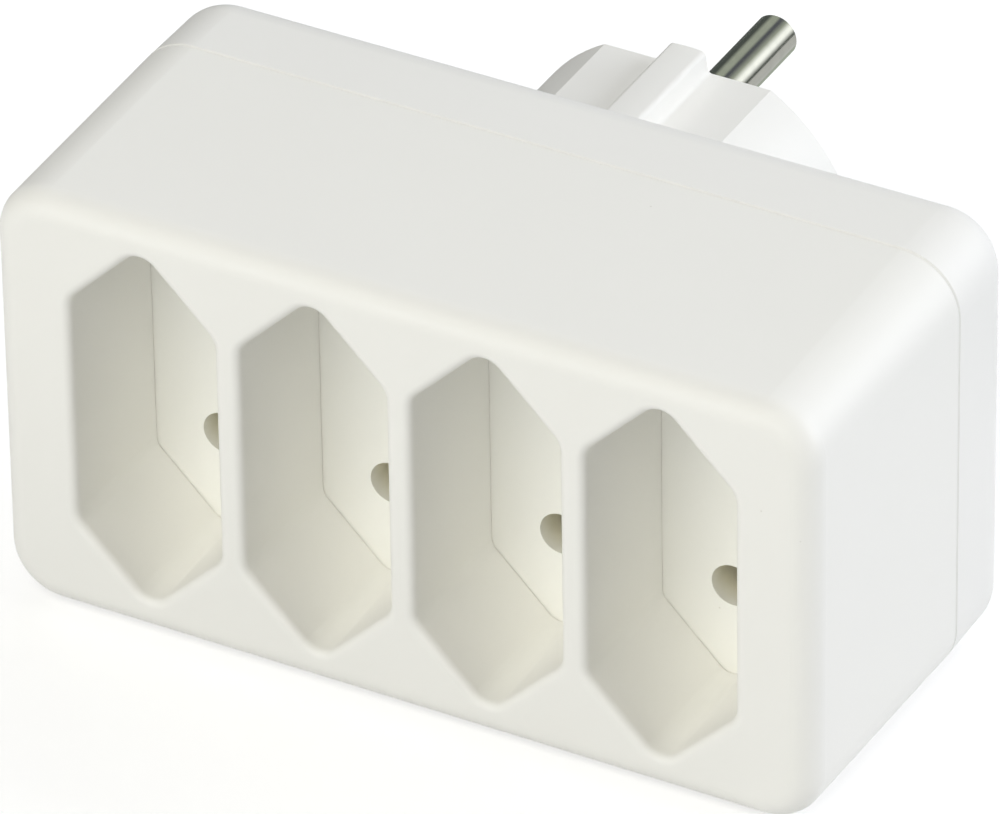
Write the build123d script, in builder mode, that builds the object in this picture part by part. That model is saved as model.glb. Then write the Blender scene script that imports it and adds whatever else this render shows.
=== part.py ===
from build123d import *
import os

# Multi socket adapter: a row of flat two-pin sockets in a rounded housing, with a round two-pin plug behind.
# Millimetres, +Z up, +X along the row of sockets, +Y from the socket face to the plug pins.
# The origin is under the middle of the outer box, level with the lower edges at the parting line.

# Sockets
socket_count = 4
socket_pitch = 19.2
socket_width = 16.4
socket_side_length = 26.4       # straight side of the hexagon, tips not counted
socket_depth = 15.5             # socket face to the floor of the well
socket_draft = 1.5              # degrees
socket_tip_radius = 2.3
socket_side_radius = 2.4
socket_mouth_radius = 0.95
socket_rear_chamfer = 0.15      # round the floor of the well
pin_spacing = 19.0              # between the two pins of a socket, and of the plug
pin_hole_diameter = 4.7

# Housing
end_margin = 9.1                # end socket to the side wall's outside, at the parting line
tip_margin = 3.55               # sharp tip of the hexagon to the top wall's outside, at the parting line
front_depth = 30.2              # socket face to the parting line
front_draft = 0.93              # degrees, towards the socket face
rear_draft = 0.6                # degrees, towards the plug
corner_radius = 6.4             # edges that run from front to rear, at the parting line
front_edge_radius = 2.6
rear_edge_radius = 4.0
wall = 2.4
tunnel_wall = 2.8               # around each well, behind the socket face
lap_depth = 1.6                 # tongue of the front housing inside the cover's rim
lap_clearance = 0.1
parting_chamfer = 0.2
smallest_radius = 0.5

# Contact carrier
carrier_floor = 5.0
carrier_clearance = 0.3
chamber_depth = 14.8            # behind the floor, up to the bus bar
chamber_width = 8.6
chamber_height = 7.4
chamber_wall = 1.6
bar_guide_height = 1.5          # chamber side walls beside the bus bar

# Bus bars, clips and rivets
bar_width = 6.0
bar_thickness = 1.0
bar_end_margin = 4.0            # beyond the last rivet
bar_rib_height = 3.1            # cover ribs that press on the bars
bar_rib_thickness = 1.6
clip_sheet = 0.5
clip_height = 5.0
clip_root_width = 6.4
clip_pinch_width = 4.5          # middle of the sheet, at the contact point
clip_mouth_width = 6.2
clip_pinch_depth = 5.0          # mouth of the clip to the contact point
clip_mouth_gap = 0.6            # carrier floor to the mouth of the clip
clip_bend_radius = 0.8
rivet_diameter = 2.0
rivet_head_diameter = 3.6
rivet_head_height = 0.6
rivet_clearance = 0.05

# Plug
plug_diameter = 38.4
plug_length = 19.6
plug_flat_depth = 2.5           # flats above and below the pins, in from the round
plug_rib_top = 4.0
plug_rib_base = 4.8
plug_rib_edge_radius = 0.6
plug_rib_root_radius = 0.5
plug_face_chamfer = 0.4
plug_wall = 2.2
plug_face = 2.5
earth_notch_offset = 10.0       # plug axis to the inner end's centre
earth_notch_width = 6.9
pin_boss_diameter = 8.0
pin_boss_length = 8.0
pin_diameter = 4.8
pin_length = 19.5
pin_tip_chamfer = 0.5
pin_shank_diameter = 4.0
pin_spigot_diameter = 3.0
pin_head_diameter = 4.4
pin_head_height = 0.6
pin_clearance = 0.05

# Screws
screw_diameter = 2.9
screw_length = 16.0
screw_head_diameter = 5.2
screw_head_height = 1.6
screw_slot_width = 0.8
screw_slot_depth = 0.8
screw_head_recess = 1.8
screw_head_clearance = 0.3
screw_hole_clearance = 0.2
screw_thread_clearance = 0.05
screw_side_inset = 7.4          # from the side wall's outside
screw_top_inset = 7.6           # from the top wall's outside
boss_diameter = 5.8
pilot_spare = 0.8               # pilot hole beyond the screw's tip

# Overall box and depths
body_width = (socket_count - 1) * socket_pitch + socket_width + 2 * end_margin
body_height = socket_side_length + socket_width + 2 * tip_margin
body_depth = socket_depth + carrier_floor + chamber_depth + bar_thickness + bar_rib_height + wall
total_depth = body_depth + plug_length + pin_length
mid_z = body_height / 2
y_front = -total_depth / 2
y_floor = y_front + socket_depth
y_carrier = y_floor + carrier_floor
y_bar = y_carrier + chamber_depth
y_parting = y_front + front_depth
y_rear = y_front + body_depth
y_plug = y_rear + plug_length
y_screw_seat = y_rear - screw_head_recess
socket_row_length = (socket_count - 1) * socket_pitch
socket_places = [(i - (socket_count - 1) / 2) * socket_pitch for i in range(socket_count)]
poles = {"upper": mid_z + pin_spacing / 2, "lower": mid_z - pin_spacing / 2}
screw_span_x = body_width - 2 * screw_side_inset
screw_span_z = body_height - 2 * screw_top_inset


def across(y):
    """Plane across the adapter at depth y, at mid height, facing the rear."""
    return Plane(origin=(0, y, mid_z), x_dir=(-1, 0, 0), z_dir=(0, 1, 0))


def outline(inset, mode=Mode.ADD):
    """Rounded outline of the housing, drawn in from its outside by inset."""
    radius = max(corner_radius - inset, smallest_radius)
    return RectangleRounded(body_width - 2 * inset, body_height - 2 * inset, radius, mode=mode)


def save(piece, name):
    """Names a finished piece and writes its file."""
    piece.part.label = name
    export_step(piece.part, f"parts/{name}.step")


os.makedirs("parts", exist_ok=True)

# Hexagon of one socket, upright, with rounded tips and side corners
half_side = socket_side_length / 2
half_width = socket_width / 2
tip = half_side + half_width
with BuildSketch() as socket_shape:
    with BuildLine():
        Polyline(
            (half_width, -half_side),
            (half_width, half_side),
            (0, tip),
            (-half_width, half_side),
            (-half_width, -half_side),
            (0, -tip),
            close=True,
        )
    make_face()
    tips = socket_shape.vertices().group_by(Axis.Y)
    fillet(tips[0] + tips[-1], socket_tip_radius)
    side_corners = socket_shape.vertices().group_by(Axis.X)
    fillet(side_corners[0] + side_corners[-1], socket_side_radius)

# One well, narrowing towards its floor
with BuildPart() as socket_well:
    with BuildSketch(across(y_front)):
        add(socket_shape.sketch)
    extrude(amount=socket_depth)
    sides = socket_well.faces() - socket_well.faces().filter_by(Axis.Y)
    draft(sides, across(y_front), socket_draft)

# Front housing: rounded shell, tunnels round the wells, screw bosses and the tongue of the lap joint
with BuildPart() as front_housing:
    with BuildSketch(across(y_front)):
        outline(0)
    extrude(amount=front_depth)
    sides = front_housing.faces() - front_housing.faces().filter_by(Axis.Y)
    draft(sides, across(y_parting), -front_draft)
    chamfer(front_housing.edges().group_by(Axis.Y)[-1], parting_chamfer)
    fillet(front_housing.edges().group_by(Axis.Y)[0], front_edge_radius)
    with BuildSketch(across(y_front + wall)):
        outline(wall)
    extrude(amount=front_depth - wall, mode=Mode.SUBTRACT)
    with BuildSketch(across(y_front + wall)):
        with GridLocations(socket_pitch, 0, socket_count, 1):
            add(socket_shape.sketch)
        offset(amount=tunnel_wall)
    extrude(amount=socket_depth - wall)
    with BuildSketch(across(y_front + wall)):
        with GridLocations(screw_span_x, screw_span_z, 2, 2):
            Circle(boss_diameter / 2)
    extrude(amount=front_depth - wall)
    with BuildSketch(across(y_parting)):
        outline(wall / 2 + lap_clearance)
        outline(wall, mode=Mode.SUBTRACT)
    extrude(amount=lap_depth)
    with GridLocations(socket_pitch, 0, socket_count, 1):
        add(socket_well.part, mode=Mode.SUBTRACT)
    fillet(front_housing.faces().sort_by(Axis.Y)[0].inner_wires().edges(), socket_mouth_radius)
    level_faces = front_housing.faces().filter_by(Axis.Y)
    near_floor = (y_floor - socket_rear_chamfer, y_floor + socket_rear_chamfer)
    tunnel_end = level_faces.filter_by_position(Axis.Y, *near_floor).sort_by(SortBy.AREA)[-1]
    chamfer(tunnel_end.inner_wires().edges(), socket_rear_chamfer)
    pilot_depth = y_parting - y_screw_seat + screw_length + pilot_spare
    with Locations(across(y_parting)):
        with GridLocations(screw_span_x, screw_span_z, 2, 2):
            Hole(screw_diameter / 2 + screw_thread_clearance, pilot_depth)
save(front_housing, "front_housing")

# Contact carrier: floor of the wells with the pin holes, and two rows of chambers for the clips
row_length = socket_row_length + chamber_width + 2 * chamber_wall
spare_width = socket_pitch - chamber_width - 2 * chamber_wall
with BuildPart() as contact_carrier:
    with BuildSketch(across(y_floor)):
        outline(wall + carrier_clearance)
        with GridLocations(screw_span_x, screw_span_z, 2, 2):
            Circle(boss_diameter / 2 + carrier_clearance, mode=Mode.SUBTRACT)
        with GridLocations(socket_pitch, pin_spacing, socket_count, 2):
            Circle(pin_hole_diameter / 2, mode=Mode.SUBTRACT)
    extrude(amount=carrier_floor)
    with BuildSketch(across(y_carrier)):
        with GridLocations(0, pin_spacing, 1, 2):
            Rectangle(row_length, chamber_height + 2 * chamber_wall)
        with GridLocations(socket_pitch, pin_spacing, socket_count, 2):
            Rectangle(chamber_width, chamber_height, mode=Mode.SUBTRACT)
        with GridLocations(socket_pitch, pin_spacing, socket_count - 1, 2):
            Rectangle(spare_width, chamber_height, mode=Mode.SUBTRACT)
    extrude(amount=chamber_depth)
    with BuildSketch(across(y_bar)):
        with GridLocations(0, pin_spacing, 1, 2):
            Rectangle(row_length, chamber_height + 2 * chamber_wall)
            Rectangle(row_length, chamber_height, mode=Mode.SUBTRACT)
    extrude(amount=bar_guide_height)
    with BuildSketch(across(y_carrier)):
        Rectangle(row_length, chamber_wall)
    extrude(amount=chamber_depth + bar_guide_height)
save(contact_carrier, "contact_carrier")

# Outline of the plug: a round with flats above and below, a rib on each flat and a notch on each side
plug_radius = plug_diameter / 2
plug_flat = plug_radius - plug_flat_depth
with BuildSketch() as plug_guides:
    Rectangle(plug_diameter, 2 * plug_flat)
    with BuildLine():
        Polyline(
            (plug_rib_base / 2, -plug_flat),
            (plug_rib_base / 2, plug_flat),
            (plug_rib_top / 2, plug_radius),
            (-plug_rib_top / 2, plug_radius),
            (-plug_rib_base / 2, plug_flat),
            (-plug_rib_base / 2, -plug_flat),
            (-plug_rib_top / 2, -plug_radius),
            (plug_rib_top / 2, -plug_radius),
            close=True,
        )
    make_face()
with BuildSketch() as plug_shape:
    Circle(plug_radius)
    add(plug_guides.sketch, mode=Mode.INTERSECT)
    levels = plug_shape.vertices().group_by(Axis.Y)
    fillet(levels[1].sort_by(Axis.X)[1:3] + levels[-2].sort_by(Axis.X)[1:3], plug_rib_root_radius)
    rib_tops = plug_shape.vertices().group_by(Axis.Y)
    fillet(rib_tops[0] + rib_tops[-1], plug_rib_edge_radius)
    notch_run = plug_radius
    with Locations((earth_notch_offset + notch_run / 2, 0), (-earth_notch_offset - notch_run / 2, 0)):
        SlotCenterToCenter(notch_run, earth_notch_width, mode=Mode.SUBTRACT)
with BuildSketch() as plug_core:
    Circle(plug_radius - plug_wall)
    Rectangle(plug_diameter, 2 * (plug_flat - plug_wall), mode=Mode.INTERSECT)
    with Locations((earth_notch_offset + notch_run / 2, 0), (-earth_notch_offset - notch_run / 2, 0)):
        SlotCenterToCenter(notch_run, earth_notch_width + 2 * plug_wall, mode=Mode.SUBTRACT)

# Rear cover: shallow shell with the hollow plug, pin bosses, ribs that press on the bus bars and screw posts
rear_depth = body_depth - front_depth
with BuildPart() as rear_cover:
    with BuildSketch(across(y_parting)):
        outline(0)
    extrude(amount=rear_depth)
    sides = rear_cover.faces() - rear_cover.faces().filter_by(Axis.Y)
    draft(sides, across(y_parting), rear_draft)
    chamfer(rear_cover.edges().group_by(Axis.Y)[0], parting_chamfer)
    fillet(rear_cover.edges().group_by(Axis.Y)[-1], rear_edge_radius)
    with BuildSketch(across(y_rear)):
        add(plug_shape.sketch)
    extrude(amount=plug_length)
    chamfer(rear_cover.edges().group_by(Axis.Y)[-1], plug_face_chamfer)
    with BuildSketch(across(y_parting)):
        outline(wall)
    extrude(amount=rear_depth - wall, mode=Mode.SUBTRACT)
    with BuildSketch(across(y_parting)):
        outline(wall / 2)
    extrude(amount=lap_depth + lap_clearance, mode=Mode.SUBTRACT)
    with BuildSketch(across(y_rear - wall)):
        add(plug_core.sketch)
    extrude(amount=wall + plug_length - plug_face, mode=Mode.SUBTRACT)
    with BuildSketch(across(y_plug - plug_face)):
        with GridLocations(0, pin_spacing, 1, 2):
            Circle(pin_boss_diameter / 2)
    extrude(amount=-pin_boss_length)
    with Locations(across(y_plug)):
        with GridLocations(0, pin_spacing, 1, 2):
            Hole(pin_shank_diameter / 2 + pin_clearance, plug_face + pin_boss_length)
    with BuildSketch(across(y_rear - wall)):
        with GridLocations(2 * socket_pitch, pin_spacing, 2, 2):
            Rectangle(bar_rib_thickness, clip_height)
    extrude(amount=-bar_rib_height)
    with BuildSketch(across(y_parting)):
        with GridLocations(screw_span_x, screw_span_z, 2, 2):
            Circle(boss_diameter / 2)
    extrude(amount=rear_depth - wall)
    with Locations(across(y_rear)):
        with GridLocations(screw_span_x, screw_span_z, 2, 2):
            CounterBoreHole(
                screw_diameter / 2 + screw_hole_clearance,
                screw_head_diameter / 2 + screw_head_clearance,
                screw_head_recess,
                rear_depth,
            )
save(rear_cover, "rear_cover")

# Bus bars: punched strips, one for each pole, with a hole for each clip's rivet and one for the plug pin
bar_length = socket_row_length + 2 * bar_end_margin
for pole, z in poles.items():
    with BuildPart() as bus_bar:
        with BuildSketch(Plane(origin=(0, y_bar, z), x_dir=(-1, 0, 0), z_dir=(0, 1, 0))):
            Rectangle(bar_length, bar_width)
            with GridLocations(socket_pitch, 0, socket_count, 1):
                Circle(rivet_diameter / 2 + rivet_clearance, mode=Mode.SUBTRACT)
            Circle(pin_spigot_diameter / 2 + pin_clearance, mode=Mode.SUBTRACT)
        extrude(amount=bar_thickness)
    save(bus_bar, f"bus_bar_{pole}")

# Spring clips: one folded strip each, two leaves that close on a pin and flare towards the pin hole
clip_length = chamber_depth - clip_mouth_gap
clip_path = [
    (-clip_mouth_width / 2, -clip_length),
    (-clip_pinch_width / 2, clip_pinch_depth - clip_length),
    (-clip_root_width / 2, -clip_sheet / 2),
    (clip_root_width / 2, -clip_sheet / 2),
    (clip_pinch_width / 2, clip_pinch_depth - clip_length),
    (clip_mouth_width / 2, -clip_length),
]
for number, x in enumerate(socket_places, start=1):
    for pole, z in poles.items():
        with BuildPart() as socket_clip:
            with BuildSketch(Plane(origin=(x, y_bar, z))):
                with BuildLine():
                    FilletPolyline(*clip_path, radius=clip_bend_radius)
                trace(line_width=clip_sheet)
            extrude(amount=clip_height / 2, both=True)
            with Locations(Plane(origin=(x, y_bar, z), z_dir=(0, 1, 0))):
                Hole(rivet_diameter / 2 + rivet_clearance, 2 * clip_sheet)
        save(socket_clip, f"socket_clip_{number}_{pole}")

# Rivets: a flat head in each clip and a closed head behind the bar
with BuildPart() as rivet:
    with BuildSketch(Plane.XZ.offset(clip_sheet)):
        Circle(rivet_head_diameter / 2)
    extrude(amount=rivet_head_height)
    with BuildSketch(Plane.XZ.offset(clip_sheet)):
        Circle(rivet_diameter / 2)
    extrude(amount=-clip_sheet - bar_thickness)
    with BuildSketch(Plane.XZ.offset(-bar_thickness)):
        Circle(rivet_head_diameter / 2)
    extrude(amount=-rivet_head_height)
with BuildPart() as clip_rivets:
    with Locations(*[(x, y_bar, z) for x in socket_places for z in poles.values()]):
        add(rivet.part)
save(clip_rivets, "clip_rivets")

# Plug pins: turned, with a shoulder on the plug's face and a spigot riveted through the bus bar
y_pin_tip = y_plug + pin_length
for pole, z in poles.items():
    with BuildPart() as plug_pin:
        with BuildSketch(Plane(origin=(0, 0, z))):
            with BuildLine():
                Polyline(
                    (0, y_pin_tip),
                    (pin_diameter / 2, y_pin_tip),
                    (pin_diameter / 2, y_plug),
                    (pin_shank_diameter / 2, y_plug),
                    (pin_shank_diameter / 2, y_bar + bar_thickness),
                    (pin_spigot_diameter / 2, y_bar + bar_thickness),
                    (pin_spigot_diameter / 2, y_bar),
                    (pin_head_diameter / 2, y_bar),
                    (pin_head_diameter / 2, y_bar - pin_head_height),
                    (0, y_bar - pin_head_height),
                    close=True,
                )
            make_face()
        revolve(axis=Axis((0, 0, z), (0, 1, 0)))
        chamfer(plug_pin.edges().group_by(Axis.Y)[-1], pin_tip_chamfer)
    save(plug_pin, f"plug_pin_{pole}")

# Screws: slotted cheese heads, sunk in the cover
with BuildPart() as screw:
    with BuildSketch():
        Circle(screw_diameter / 2)
    extrude(amount=-screw_length)
    with BuildSketch():
        Circle(screw_head_diameter / 2)
    extrude(amount=screw_head_height)
    with BuildSketch(Plane.XY.offset(screw_head_height)):
        Rectangle(screw_head_diameter, screw_slot_width)
    extrude(amount=-screw_slot_depth, mode=Mode.SUBTRACT)
with BuildPart() as housing_screws:
    with Locations(across(y_screw_seat)):
        with GridLocations(screw_span_x, screw_span_z, 2, 2):
            add(screw.part)
save(housing_screws, "housing_screws")
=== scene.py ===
"""Looks of a white multi socket adapter, built around its solid model: finishes and a small studio."""

import math
from collections import namedtuple

import bmesh
import bpy
from bpy.props import FloatProperty, FloatVectorProperty, PointerProperty
from bpy.types import Operator, Panel, PropertyGroup
from mathutils import Matrix, Vector


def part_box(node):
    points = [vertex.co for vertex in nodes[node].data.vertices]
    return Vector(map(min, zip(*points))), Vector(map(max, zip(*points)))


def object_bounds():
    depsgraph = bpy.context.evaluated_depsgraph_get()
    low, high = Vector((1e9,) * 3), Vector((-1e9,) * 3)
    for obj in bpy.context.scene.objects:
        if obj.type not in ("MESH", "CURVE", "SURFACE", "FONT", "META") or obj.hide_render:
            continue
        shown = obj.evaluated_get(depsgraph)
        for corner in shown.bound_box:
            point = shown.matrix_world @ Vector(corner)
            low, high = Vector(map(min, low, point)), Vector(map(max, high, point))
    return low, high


bl_info = {
    "name": "Multi Socket Adapter",
    "version": (1, 0, 0),
    "blender": (4, 5, 0),
    "location": "View3D > Sidebar > Adapter",
    "description": "Finishes of a moulded four-way socket adapter, with its studio",
    "category": "Object",
}

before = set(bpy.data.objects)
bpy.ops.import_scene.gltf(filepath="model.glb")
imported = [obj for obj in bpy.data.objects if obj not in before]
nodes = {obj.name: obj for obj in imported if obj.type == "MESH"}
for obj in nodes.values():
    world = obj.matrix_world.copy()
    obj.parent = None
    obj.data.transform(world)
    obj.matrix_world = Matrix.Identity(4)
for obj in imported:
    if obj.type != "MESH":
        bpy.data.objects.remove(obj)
cad_box = [list(corner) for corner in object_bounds()]

MM = 0.001

# Axes that the lines on a metal run along
ALONG_ROW = 0
ALONG_PIN = 1

# Roughness of each finish, at its smoothest and at its coarsest
ABS_ROUGHNESS = (0.40, 0.50)
BRASS_ROUGHNESS = (0.2, 0.4)
NICKEL_ROUGHNESS = (0.08, 0.16)
ZINC_ROUGHNESS = (0.28, 0.42)
ABS_IOR = 1.54

# Shares of the full colour that are left in the darkest places
FLOW_DARKEST = 0.975
NICKEL_DARKEST = 0.93

# A burnt speck's share in the colour at its middle, and the share of its radius over which that holds
SPECK_STRENGTH = 0.25
SPECK_CORE = 0.5

# Values of the noise between which a metal goes from bright to dull
PATCH_EDGES = (0.4, 0.75)

# Places and sizes of the stage, in metres and radians
FLOOR_HALF_WIDTH = 6
FLOOR_DROP = 0.1 * MM
LAMP_DISTANCE = 0.9
SURROUND_RADIUS = 0.24
SURROUND_ENDS = (0.16, 0.46)
SURROUND_START = math.radians(-8)
SURROUND_STEPS = 48
FLOOR_CARD_LENGTH = 0.26
FLOOR_CARD_HEIGHT = 0.4 * MM

# A soft box has its power under its own name in the stage settings
# Its angles are in degrees, from the front towards +X and above the horizon
SoftBox = namedtuple("SoftBox", "name tint azimuth elevation width height")
SOFT_BOXES = (
    SoftBox("front_left", "plain_light", azimuth=-18, elevation=12, width=0.5, height=0.5),
    SoftBox("front_right", "plain_light", azimuth=14, elevation=12, width=0.5, height=0.5),
    SoftBox("top", "warm_light", azimuth=-10, elevation=48, width=1.0, height=0.5),
    SoftBox("key", "cool_light", azimuth=112, elevation=22, width=0.7, height=0.6),
    SoftBox("back", "cool_light", azimuth=180, elevation=45, width=1.0, height=0.6),
)

# A floor card's left and right ends are places along the row
FloorCard = namedtuple("FloorCard", "name colour left right")
FLOOR_CARDS = (
    FloorCard("left_floor_card", "dark_card", left=-245 * MM, right=-60 * MM),
    FloorCard("near_floor_card", "grey_card", left=-24 * MM, right=12 * MM),
    FloorCard("right_floor_card", "pale_card", left=12 * MM, right=165 * MM),
    FloorCard("far_floor_card", "dark_card", left=165 * MM, right=245 * MM),
)


def linear(colour):
    """Linear colour of an sRGB hex value."""
    shares = [int(colour[i:i + 2], 16) / 255 for i in (0, 2, 4)]
    return [s / 12.92 if s <= 0.04045 else ((s + 0.055) / 1.055) ** 2.4 for s in shares]


def colour_setting(name, description, colour):
    """Colour that a user can change, given as an sRGB hex value."""
    return FloatVectorProperty(
        name=name, description=description, subtype="COLOR", size=3, min=0, max=1, default=linear(colour)
    )


def length_setting(name, description, millimetres):
    """Length that a user can change, given in millimetres."""
    return FloatProperty(
        name=name, description=description, subtype="DISTANCE", unit="LENGTH", default=millimetres * MM
    )


def angle_setting(name, description, degrees):
    """Angle that a user can change, given in degrees."""
    return FloatProperty(
        name=name, description=description, subtype="ANGLE", unit="ROTATION", default=math.radians(degrees)
    )


def power_setting(name, description, watts):
    """Power of a lamp that a user can change."""
    return FloatProperty(name=name, description=description, unit="POWER", min=0, default=watts)


class AdapterPlastic(PropertyGroup):
    """Colours and grain of the mouldings."""

    housing_colour: colour_setting("Housing", "Front housing", "F8F7F2")
    cover_colour: colour_setting("Cover", "Rear cover with the plug", "F8F7F3")
    carrier_colour: colour_setting("Carrier", "Contact carrier at the floor of the sockets", "F9F8F1")
    # Painted shade: a warmer, darker colour deep in the pin holes that stands in for the dim, warm light
    # there
    painted_hole_shade_colour: colour_setting("Rubbed", "Pin holes of the carrier, past their mouths", "F9F5E1")
    speck_colour: colour_setting("Specks", "Burnt specks in the moulding", "A39B86")
    # Real grain is finer than a pixel of the render, so this one is drawn coarse enough to show
    grain: length_setting("Grain", "Width of the spark-eroded grain", 0.35)
    grain_depth: length_setting("Grain Depth", "Height of the spark-eroded grain", 0.004)
    flow: length_setting("Flow", "Width of the faint tone changes left by the flow of the plastic", 22)
    speck_spacing: length_setting("Speck Spacing", "Usual distance between specks in the plastic", 8)
    speck_size: length_setting("Speck Size", "Diameter of the largest specks", 0.26)
    # Painted shade: depth in a pin hole at which the warm painted shade is full
    painted_hole_shade_depth: length_setting("Rub Depth", "Depth in a pin hole at which the rub of the pins is full", 2.5)


class AdapterMetal(PropertyGroup):
    """Colours and marks of the metal pieces."""

    nickel_colour: colour_setting("Nickel", "Plating of the plug pins", "C9C6BC")
    brass_colour: colour_setting("Brass", "Strips, clips and rivets", "D9B566")
    tarnish_colour: colour_setting("Tarnish", "Duller patches of the brass", "B08A48")
    zinc_colour: colour_setting("Zinc", "Plating of the screws", "C4C8CB")
    spangle_colour: colour_setting("Spangle", "Darker patches of the zinc", "A5ABB2")
    # Real lines are finer than a pixel of the render, so these are drawn coarse enough to show
    line_width: length_setting("Line Width", "Width of the lines along a drawn or rolled surface", 0.12)
    line_length: length_setting("Line Length", "Length of the lines along a drawn or rolled surface", 9)
    line_depth: length_setting("Line Depth", "Depth of the lines along a drawn or rolled surface", 0.0006)
    patch: length_setting("Patch", "Width of the tarnished or spangled patches", 1.4)


class AdapterStage(PropertyGroup):
    """Camera, floor, lamps and reflector cards."""

    azimuth: angle_setting("Azimuth", "Camera round the object, from the front towards +X", 28.989)
    elevation: angle_setting("Elevation", "Camera above the horizon", 34.332)
    roll: angle_setting("Roll", "Turn of the camera about its own axis", -0.901)
    distance: length_setting("Distance", "Camera to the point that it looks at", 1125.75)
    focal_length: FloatProperty(
        name="Focal Length",
        description="Lens on a 36 mm wide sensor",
        subtype="DISTANCE_CAMERA",
        default=408.13,
    )
    aim: FloatVectorProperty(
        name="Aim",
        description="Point that the camera looks at",
        subtype="XYZ",
        unit="LENGTH",
        size=3,
        default=(-0.15 * MM, -19.39 * MM, 24.25 * MM),
    )
    floor_colour: colour_setting("Floor", "Paper floor", "D6D6D6")
    floor_lift: FloatProperty(
        name="Floor Lift", description="Light added so that the floor shows white", default=0.55
    )
    sky: FloatProperty(name="Sky", description="Even light from all round", min=0, default=0.06)
    front_left: power_setting("Front Left", "Soft box in front, a little to the left", 2.2)
    front_right: power_setting("Front Right", "Weaker soft box in front, a little to the right", 1.1)
    top: power_setting("Top", "Wide soft box above the front ones", 3.5)
    key: power_setting("Key", "Soft box behind the object at the right", 5.2)
    back: power_setting("Back", "Wide soft box high behind the object", 3.4)
    plain_light: colour_setting("Plain Light", "Light of the front soft boxes", "FCFFFF")
    warm_light: colour_setting("Warm Light", "Light of the top soft box", "FFFCF2")
    cool_light: colour_setting("Cool Light", "Light of the soft boxes behind the object", "F6F9FF")
    dark_card: colour_setting("Dark Card", "Ends of the surround that the plug pins mirror", "5A615E")
    grey_card: colour_setting("Grey Card", "Grey stretches of the surround", "B5BFB3")
    night_card: colour_setting("Night Card", "Dark stretch at the top of the surround", "5F646D")
    pale_card: colour_setting("Pale Card", "Card on the floor at the right of the plug pins", "D7DBDC")
    streak_colour: colour_setting("Streak", "Bright stretch of the surround", "F7FDFF")
    streak_strength: FloatProperty(
        name="Streak Strength", description="Brightness of the bright stretch", min=0, default=1.7
    )


def add_node(tree, kind, links=(), **settings):
    """Adds a shader node: settings are properties and input values, links are pairs of input and output."""
    node = tree.nodes.new(kind)
    inputs = {}
    for name, value in settings.items():
        if hasattr(node, name):
            setattr(node, name, value)
        else:
            inputs[name.replace("_", " ")] = value
    for name, value in inputs.items():
        node.inputs[name].default_value = value
    for name, output in links:
        tree.links.new(output, node.inputs[name])
    return node


def new_material(name):
    """Material with an empty node tree, and that tree."""
    material = bpy.data.materials.new(name)
    material.use_nodes = True
    material.node_tree.nodes.clear()
    return material, material.node_tree


def end_finish(tree, colour, relief, relief_depth, roughness, **settings):
    """Ends a finish with its shader: the relief gives the bump and goes through the range of roughness."""
    rough = add_node(
        tree, "ShaderNodeMapRange", [("Value", relief)], To_Min=roughness[0], To_Max=roughness[1]
    )
    bump = add_node(tree, "ShaderNodeBump", [("Height", relief)], Strength=1, Distance=relief_depth)
    shader = add_node(
        tree,
        "ShaderNodeBsdfPrincipled",
        [
            ("Base Color", colour),
            ("Roughness", rough.outputs["Result"]),
            ("Normal", bump.outputs["Normal"]),
        ],
        **settings,
    )
    add_node(tree, "ShaderNodeOutputMaterial", [("Surface", shader.outputs["BSDF"])])


def moulded_abs(name, colour, painted_hole_shade_from=None):
    """White ABS from a spark-eroded mould: satin, with a fine grain, faint flow tones and a rare burnt speck.

    Behind the place along Y given last, the holes get painted shade: a warmer, darker colour that stands in
    for the dim, warm light deep inside them.
    """
    plastic = bpy.context.scene.adapter_plastic
    material, tree = new_material(name)
    place = add_node(tree, "ShaderNodeTexCoord").outputs["Object"]
    flow = add_node(tree, "ShaderNodeTexNoise", [("Vector", place)], Scale=1 / plastic.flow, Detail=3)
    pale = Vector(colour)
    tone = add_node(
        tree,
        "ShaderNodeMix",
        [("Factor", flow.outputs["Fac"])],
        data_type="RGBA", A=(*(pale * FLOW_DARKEST), 1), B=(*pale, 1),
    )
    seeds = add_node(tree, "ShaderNodeTexVoronoi", [("Vector", place)], Scale=1 / plastic.speck_spacing)
    radius = plastic.speck_size / plastic.speck_spacing / 2
    speck = add_node(
        tree,
        "ShaderNodeMapRange",
        [("Value", seeds.outputs["Distance"])],
        From_Min=radius * SPECK_CORE, From_Max=radius, To_Min=SPECK_STRENGTH, To_Max=0,
    )
    specked = add_node(
        tree,
        "ShaderNodeMix",
        [("Factor", speck.outputs["Result"]), ("A", tone.outputs["Result"])],
        data_type="RGBA", B=(*plastic.speck_colour, 1),
    )
    finish = specked.outputs["Result"]
    # Painted shade: past the carrier's front, the pin holes turn warmer and darker with depth, standing in
    # for the light deep in them
    if painted_hole_shade_from is not None:
        depth = add_node(tree, "ShaderNodeSeparateXYZ", [("Vector", place)]).outputs["Y"]
        hole_shade_share = add_node(
            tree,
            "ShaderNodeMapRange",
            [("Value", depth)],
            From_Min=painted_hole_shade_from, From_Max=painted_hole_shade_from + plastic.painted_hole_shade_depth,
        )
        hole_shade_mix = add_node(
            tree,
            "ShaderNodeMix",
            [("Factor", hole_shade_share.outputs["Result"]), ("A", finish)],
            data_type="RGBA", B=(*plastic.painted_hole_shade_colour, 1),
        )
        finish = hole_shade_mix.outputs["Result"]
    grain = add_node(tree, "ShaderNodeTexNoise", [("Vector", place)], Scale=1 / plastic.grain, Detail=2)
    end_finish(tree, finish, grain.outputs["Fac"], plastic.grain_depth, ABS_ROUGHNESS, IOR=ABS_IOR)
    return material


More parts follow.
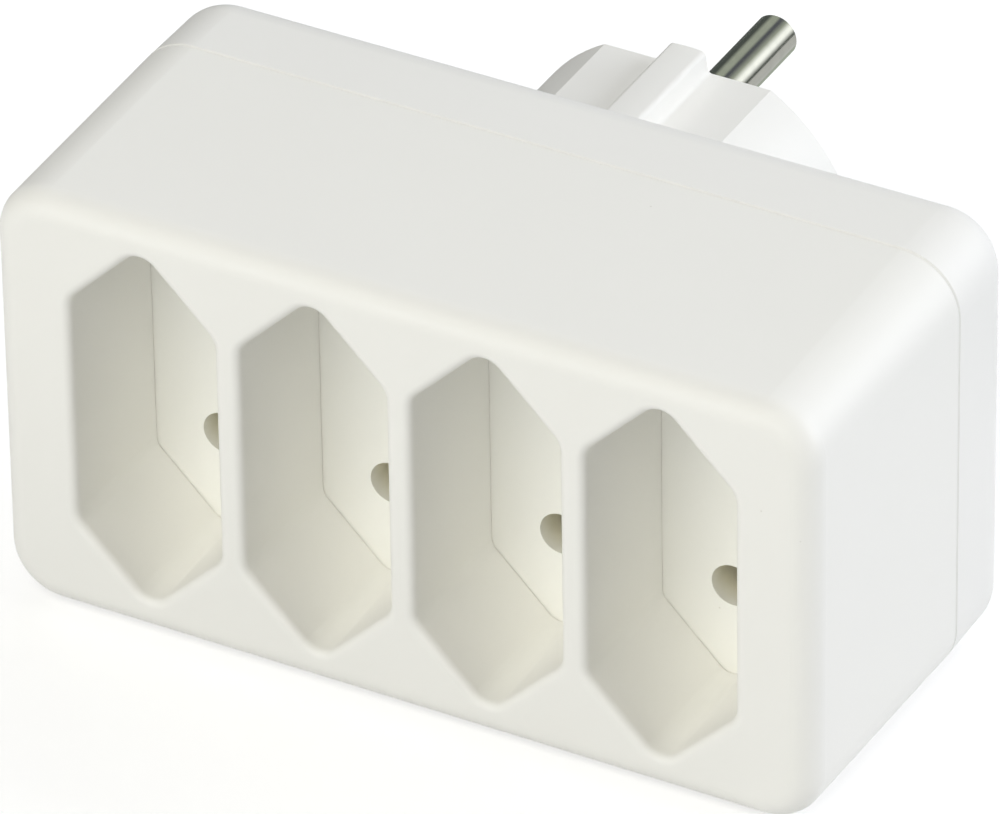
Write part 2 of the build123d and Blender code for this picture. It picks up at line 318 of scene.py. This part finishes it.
def lined_metal(name, bright, dull, lines_along, roughness):
    """Metal with duller patches, and fine lines along one axis that make it smoother and coarser in turn."""
    metal = bpy.context.scene.adapter_metal
    material, tree = new_material(name)
    place = add_node(tree, "ShaderNodeTexCoord").outputs["Object"]
    stretch = [1 / metal.line_width] * 3
    stretch[lines_along] = 1 / metal.line_length
    drawn = add_node(tree, "ShaderNodeMapping", [("Vector", place)], Scale=stretch)
    lines = add_node(tree, "ShaderNodeTexNoise", [("Vector", drawn.outputs["Vector"])], Scale=1, Detail=2)
    patches = add_node(tree, "ShaderNodeTexNoise", [("Vector", place)], Scale=1 / metal.patch, Detail=3)
    shares = add_node(
        tree,
        "ShaderNodeMapRange",
        [("Value", patches.outputs["Fac"])],
        From_Min=PATCH_EDGES[0], From_Max=PATCH_EDGES[1],
    )
    tone = add_node(
        tree,
        "ShaderNodeMix",
        [("Factor", shares.outputs["Result"])],
        data_type="RGBA", A=(*bright, 1), B=(*dull, 1),
    )
    end_finish(tree, tone.outputs["Result"], lines.outputs["Fac"], metal.line_depth, roughness, Metallic=1)
    return material


def dress(names, material):
    """Gives CAD nodes a finish."""
    for name in names:
        for slot in nodes[name].material_slots:
            slot.material = material


class ADAPTER_OT_housing(Operator):
    """Finish the front housing and the rear cover"""

    bl_idname = "adapter.housing"
    bl_label = "Housing"

    def execute(self, context):
        plastic = context.scene.adapter_plastic
        dress(["front_housing"], moulded_abs("moulded_abs_housing", plastic.housing_colour))
        dress(["rear_cover"], moulded_abs("moulded_abs_cover", plastic.cover_colour))
        return {"FINISHED"}


class ADAPTER_OT_carrier(Operator):
    """Finish the contact carrier"""

    bl_idname = "adapter.carrier"
    bl_label = "Contact Carrier"

    def execute(self, context):
        plastic = context.scene.adapter_plastic
        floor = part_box("contact_carrier")[0].y
        # The carrier's front, where the painted shade in the pin holes starts
        dress(["contact_carrier"], moulded_abs("moulded_abs_carrier", plastic.carrier_colour, floor))
        return {"FINISHED"}


class ADAPTER_OT_contacts(Operator):
    """Finish the bus bars, the spring clips and their rivets"""

    bl_idname = "adapter.contacts"
    bl_label = "Contacts"

    def execute(self, context):
        metal = context.scene.adapter_metal
        # Rolled brass strip: yellow, with lines along the row and browner patches where it has tarnished
        brass = lined_metal(
            "rolled_brass", metal.brass_colour, metal.tarnish_colour, ALONG_ROW, BRASS_ROUGHNESS
        )
        dress([name for name in nodes if name.startswith(("bus_bar", "socket_clip", "clip_rivets"))], brass)
        return {"FINISHED"}


class ADAPTER_OT_pins(Operator):
    """Finish the plug pins"""

    bl_idname = "adapter.pins"
    bl_label = "Plug Pins"

    def execute(self, context):
        metal = context.scene.adapter_metal
        # Bright nickel on drawn brass rod: a warm grey mirror, blurred a little by lines along the pin
        dull = Vector(metal.nickel_colour) * NICKEL_DARKEST
        nickel = lined_metal("nickel_plate", metal.nickel_colour, dull, ALONG_PIN, NICKEL_ROUGHNESS)
        dress(["plug_pin_upper", "plug_pin_lower"], nickel)
        return {"FINISHED"}


class ADAPTER_OT_screws(Operator):
    """Finish the housing screws"""

    bl_idname = "adapter.screws"
    bl_label = "Screws"

    def execute(self, context):
        metal = context.scene.adapter_metal
        # Zinc plate on steel: cool and dull, with the darker spangle of the bath
        zinc = lined_metal("zinc_plate", metal.zinc_colour, metal.spangle_colour, ALONG_PIN, ZINC_ROUGHNESS)
        dress(["housing_screws"], zinc)
        return {"FINISHED"}


def view_axes(azimuth, elevation, roll):
    """Right, up and back of a camera, as columns of a matrix."""
    turn = Matrix.Rotation(azimuth, 3, "Z") @ Matrix.Rotation(math.pi / 2 - elevation, 3, "X")
    return turn @ Matrix.Rotation(roll, 3, "Z")


class ADAPTER_OT_stage(Operator):
    """Add the camera, the floor, the lamps and the reflector cards"""

    bl_idname = "adapter.stage"
    bl_label = "Stage"

    def execute(self, context):
        scene = context.scene
        stage = scene.adapter_stage
        scene.view_settings.view_transform = "Standard"
        self.add_camera(scene, stage)
        self.add_floor(scene, stage)
        self.add_sky(scene, stage)
        for soft_box in SOFT_BOXES:
            self.add_lamp(scene, stage, soft_box)
        self.add_surround(scene, stage)
        for card in FLOOR_CARDS:
            self.add_floor_card(scene, stage, card)
        return {"FINISHED"}

    def add_camera(self, scene, stage):
        """Long lens at the viewing angle of the photograph."""
        lens = bpy.data.cameras.new("camera")
        lens.lens = stage.focal_length
        camera = bpy.data.objects.new("camera", lens)
        axes = view_axes(stage.azimuth, stage.elevation, stage.roll)
        place = Vector(stage.aim) + axes.col[2] * stage.distance
        camera.matrix_world = Matrix.Translation(place) @ axes.to_4x4()
        scene.collection.objects.link(camera)
        scene.camera = camera

    def seen_directly(self, tree):
        """Light path output that is 1 for camera, glossy and transmission rays."""
        path = add_node(tree, "ShaderNodeLightPath").outputs
        seen = path["Is Camera Ray"]
        for name in ("Is Glossy Ray", "Is Transmission Ray"):
            either = add_node(tree, "ShaderNodeMath", [(0, seen), (1, path[name])], operation="MAXIMUM")
            seen = either.outputs["Value"]
        return seen

    def add_floor(self, scene, stage):
        """Wide sheet of white paper that keeps the soft shadow."""
        mesh = bpy.data.meshes.new("floor")
        form = bmesh.new()
        bmesh.ops.create_grid(form, x_segments=1, y_segments=1, size=FLOOR_HALF_WIDTH)
        bmesh.ops.translate(form, verts=form.verts, vec=(0, 0, -FLOOR_DROP))
        form.to_mesh(mesh)
        form.free()
        floor = bpy.data.objects.new("floor", mesh)
        scene.collection.objects.link(floor)
        material, tree = new_material("white_paper")
        paper = add_node(tree, "ShaderNodeBsdfDiffuse", Color=(*stage.floor_colour, 1))
        lift = add_node(tree, "ShaderNodeMath", [(0, self.seen_directly(tree))], operation="MULTIPLY")
        lift.inputs[1].default_value = stage.floor_lift
        glow = add_node(tree, "ShaderNodeEmission", [("Strength", lift.outputs["Value"])])
        both = add_node(
            tree, "ShaderNodeAddShader", [(0, paper.outputs["BSDF"]), (1, glow.outputs["Emission"])]
        )
        add_node(tree, "ShaderNodeOutputMaterial", [("Surface", both.outputs["Shader"])])
        mesh.materials.append(material)

    def add_sky(self, scene, stage):
        """Even light from all round, seen as plain white."""
        sky = bpy.data.worlds.new("studio")
        sky.use_nodes = True
        tree = sky.node_tree
        tree.nodes.clear()
        even = add_node(tree, "ShaderNodeBackground", Color=(1, 1, 1, 1), Strength=stage.sky)
        white = add_node(tree, "ShaderNodeBackground", Color=(1, 1, 1, 1), Strength=1)
        both = add_node(
            tree,
            "ShaderNodeMixShader",
            [
                ("Fac", self.seen_directly(tree)),
                (1, even.outputs["Background"]),
                (2, white.outputs["Background"]),
            ],
        )
        add_node(tree, "ShaderNodeOutputWorld", [("Surface", both.outputs["Shader"])])
        scene.world = sky

    def add_lamp(self, scene, stage, soft_box):
        """Soft box that faces the middle of the object."""
        name = f"{soft_box.name}_softbox"
        light = bpy.data.lights.new(name, "AREA")
        light.shape = "RECTANGLE"
        light.size = soft_box.width
        light.size_y = soft_box.height
        light.energy = getattr(stage, soft_box.name)
        light.color = getattr(stage, soft_box.tint)
        lamp = bpy.data.objects.new(name, light)
        axes = view_axes(math.radians(soft_box.azimuth), math.radians(soft_box.elevation), 0)
        middle = (Vector(cad_box[0]) + Vector(cad_box[1])) / 2
        lamp.matrix_world = Matrix.Translation(middle + axes.col[2] * LAMP_DISTANCE) @ axes.to_4x4()
        lamp.visible_camera = False
        scene.collection.objects.link(lamp)

    def add_surround(self, scene, stage):
        """Half pipe round the upper plug pin, toned by the angle from +X towards +Z, for mirrors only."""
        dark, grey, night = stage.dark_card, stage.grey_card, stage.night_card
        bright = Vector(stage.streak_colour) * stage.streak_strength
        # Angles in degrees, each with the tone there
        tones = (
            (-3, dark), (21, bright), (35, bright), (60, grey), (84, night),
            (94, night), (106, grey), (132, grey), (152, dark),
        )
        low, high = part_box("plug_pin_upper")
        axis = (low + high) / 2
        material, tree = new_material("mirror_surround")
        place = add_node(tree, "ShaderNodeTexCoord").outputs["Object"]
        along_pin = add_node(
            tree,
            "ShaderNodeMapping",
            [("Vector", place)],
            Location=(-axis.x, -axis.z, 0), Rotation=(-math.pi / 2, 0, 0),
        )
        turn = add_node(
            tree, "ShaderNodeTexGradient", [("Vector", along_pin.outputs["Vector"])], gradient_type="RADIAL"
        )
        ramp = add_node(tree, "ShaderNodeValToRGB", [("Fac", turn.outputs["Fac"])])
        for end in ramp.color_ramp.elements:
            end.color = (*dark, 1)
        for angle, tone in tones:
            ramp.color_ramp.elements.new(0.5 + angle / 360).color = (*tone, 1)
        glow = add_node(tree, "ShaderNodeEmission", [("Color", ramp.outputs["Color"])], Strength=1)
        add_node(tree, "ShaderNodeOutputMaterial", [("Surface", glow.outputs["Emission"])])
        form = bmesh.new()
        start = Matrix.Rotation(-SURROUND_START, 3, "Y") @ Vector((SURROUND_RADIUS, 0, 0))
        edge = [form.verts.new((axis.x + start.x, end, axis.z + start.z)) for end in SURROUND_ENDS]
        bmesh.ops.spin(
            form,
            geom=[*edge, form.edges.new(edge)],
            cent=axis,
            axis=(0, -1, 0),
            angle=math.pi - 2 * SURROUND_START,
            steps=SURROUND_STEPS,
        )
        self.add_mirrored(scene, "mirror_surround", form, material)

    def add_floor_card(self, scene, stage, card):
        """Card on the floor behind the plug, for mirrors only."""
        material, tree = new_material(card.name)
        glow = add_node(tree, "ShaderNodeEmission", Color=(*getattr(stage, card.colour), 1), Strength=1)
        add_node(tree, "ShaderNodeOutputMaterial", [("Surface", glow.outputs["Emission"])])
        form = bmesh.new()
        bmesh.ops.create_grid(form, x_segments=1, y_segments=1, size=0.5)
        bmesh.ops.scale(form, verts=form.verts, vec=(card.right - card.left, FLOOR_CARD_LENGTH, 1))
        middle = ((card.left + card.right) / 2, cad_box[1][1] + FLOOR_CARD_LENGTH / 2, FLOOR_CARD_HEIGHT)
        bmesh.ops.translate(form, verts=form.verts, vec=middle)
        self.add_mirrored(scene, card.name, form, material)

    def add_mirrored(self, scene, name, form, material):
        """Adds a shape to the stage that only glossy rays see."""
        mesh = bpy.data.meshes.new(name)
        form.to_mesh(mesh)
        form.free()
        mesh.materials.append(material)
        shape = bpy.data.objects.new(name, mesh)
        scene.collection.objects.link(shape)
        shape.visible_camera = False
        shape.visible_diffuse = False
        shape.visible_shadow = False
        shape.visible_transmission = False


class ADAPTER_PT_panel(Panel):
    """Lists the adapter's pieces and settings"""

    bl_label = "Multi Socket Adapter"
    bl_idname = "ADAPTER_PT_panel"
    bl_space_type = "VIEW_3D"
    bl_region_type = "UI"
    bl_category = "Adapter"

    def draw(self, context):
        for operator in operators:
            self.layout.operator(operator.bl_idname)
        for group in setting_groups:
            settings = getattr(context.scene, group)
            for name in settings.bl_rna.properties.keys():
                if name not in ("rna_type", "name"):
                    self.layout.prop(settings, name)


setting_groups = {
    "adapter_plastic": AdapterPlastic,
    "adapter_metal": AdapterMetal,
    "adapter_stage": AdapterStage,
}
operators = [
    ADAPTER_OT_housing,
    ADAPTER_OT_carrier,
    ADAPTER_OT_contacts,
    ADAPTER_OT_pins,
    ADAPTER_OT_screws,
    ADAPTER_OT_stage,
]


def register():
    """Registers the settings, the operators and the panel."""
    for name, group in setting_groups.items():
        bpy.utils.register_class(group)
        setattr(bpy.types.Scene, name, PointerProperty(type=group))
    for operator in operators:
        bpy.utils.register_class(operator)
    bpy.utils.register_class(ADAPTER_PT_panel)


def unregister():
    """Removes what register added."""
    bpy.utils.unregister_class(ADAPTER_PT_panel)
    for operator in reversed(operators):
        bpy.utils.unregister_class(operator)
    for name, group in setting_groups.items():
        delattr(bpy.types.Scene, name)
        bpy.utils.unregister_class(group)


def main():
    """Builds every piece and the stage."""
    register()
    bpy.ops.adapter.housing()
    bpy.ops.adapter.carrier()
    bpy.ops.adapter.contacts()
    bpy.ops.adapter.pins()
    bpy.ops.adapter.screws()
    bpy.ops.adapter.stage()


if __name__ == "__main__":
    main()
